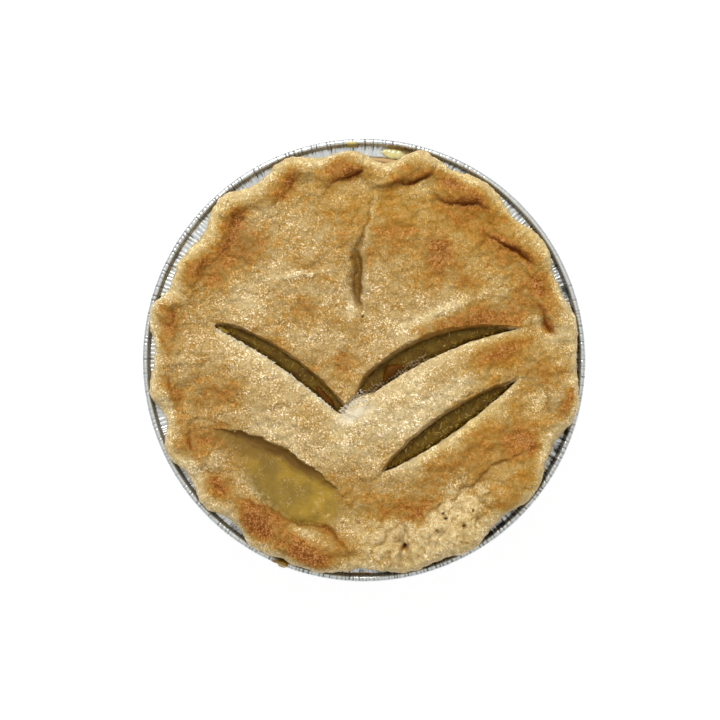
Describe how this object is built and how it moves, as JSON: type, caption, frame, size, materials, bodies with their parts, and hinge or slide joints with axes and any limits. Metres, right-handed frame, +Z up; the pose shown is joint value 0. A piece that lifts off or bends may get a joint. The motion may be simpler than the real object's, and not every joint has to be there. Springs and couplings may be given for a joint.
{
  "type": "mini pineapple pie",
  "caption": "Round covered fruit pie in its own crimped foil tin, with a hand-pinched rolled edge and steam cuts in the lid that show a glossy pineapple filling.",
  "frame": {"origin": "centre of the tin on the surface it stands on", "axes": "+Z up along the tin's axis; seen from above with +Y up the page, the V of the long cuts points down"},
  "size_m": [0.127, 0.127, 0.0341],
  "materials": {
    "foil": "bright pressed foil, crimped all round",
    "crust": "baked shortcrust pastry, golden and speckled, browner on the high spots, slightly greasy",
    "filling": "glossy amber fruit filling with shreds of pineapple"
  },
  "bodies": {
    "root": {"foil_tin": "foil", "bottom_crust": "crust", "pineapple_filling": "filling", "lid_crust": "crust"}
  },
  "joints": []
}
